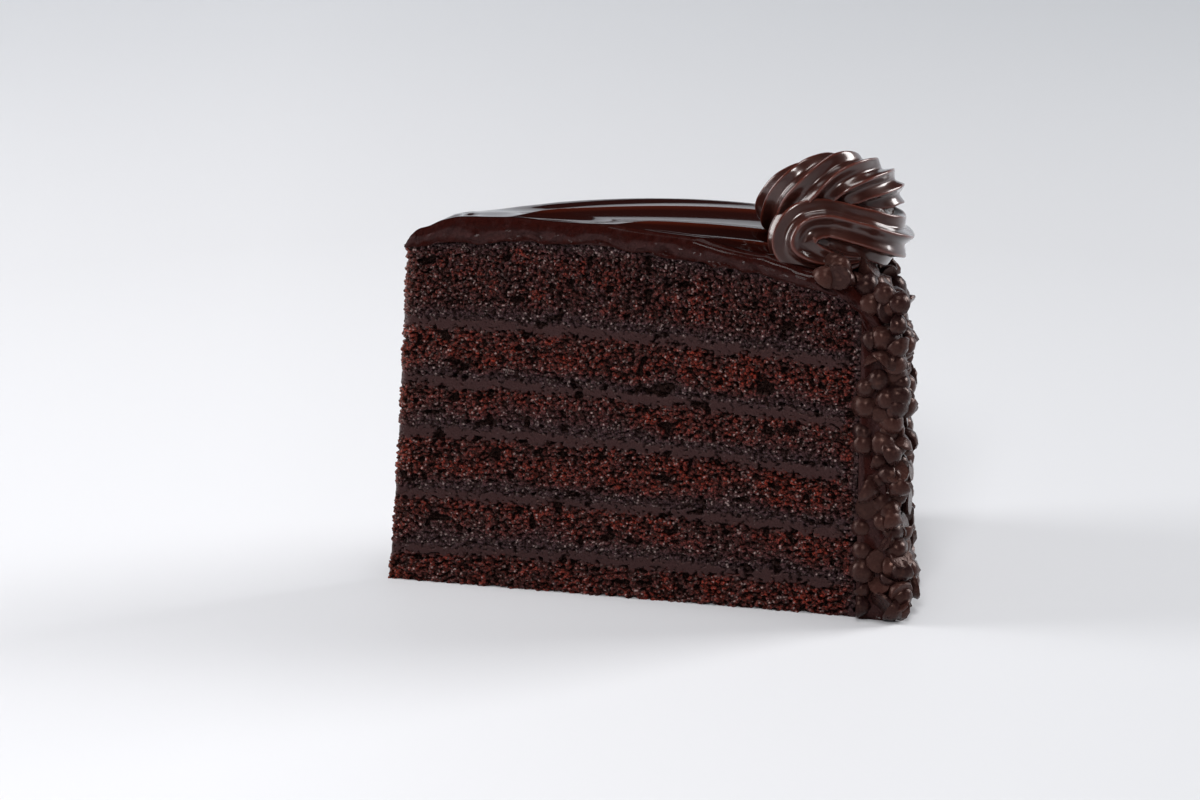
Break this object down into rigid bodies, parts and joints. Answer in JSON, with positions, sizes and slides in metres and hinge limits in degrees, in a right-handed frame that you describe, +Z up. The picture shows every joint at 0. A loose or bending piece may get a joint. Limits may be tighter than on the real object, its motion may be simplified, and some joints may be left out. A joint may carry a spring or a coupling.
{
  "type": "slice of chocolate cake",
  "caption": "Wedge-shaped slice of chocolate layer cake, with fillings, glossy icing over the top and rim, chips on the rim and a piped rosette.",
  "frame": {"origin": "on the flat base, on the slice's middle line, halfway between the cake's axis at the tip and the tops of the chips on the rim", "axes": "+X along the middle of the slice from the tip to the rim, +Z up, and the cut faces at 18 degrees to X on either side"},
  "size_m": [0.1257, 0.0804, 0.106],
  "materials": {
    "sponge": "matte, open crumb",
    "filling": "matte, smooth",
    "icing": "glossy on top, chips on the rim",
    "rosette": "satin"
  },
  "bodies": {
    "root": {"sponge_1": "sponge", "sponge_2": "sponge", "sponge_3": "sponge", "sponge_4": "sponge", "sponge_5": "sponge", "sponge_6": "sponge", "filling_1": "filling", "filling_2": "filling", "filling_3": "filling", "filling_4": "filling", "filling_5": "filling", "icing": "icing", "rosette": "rosette"}
  },
  "joints": []
}
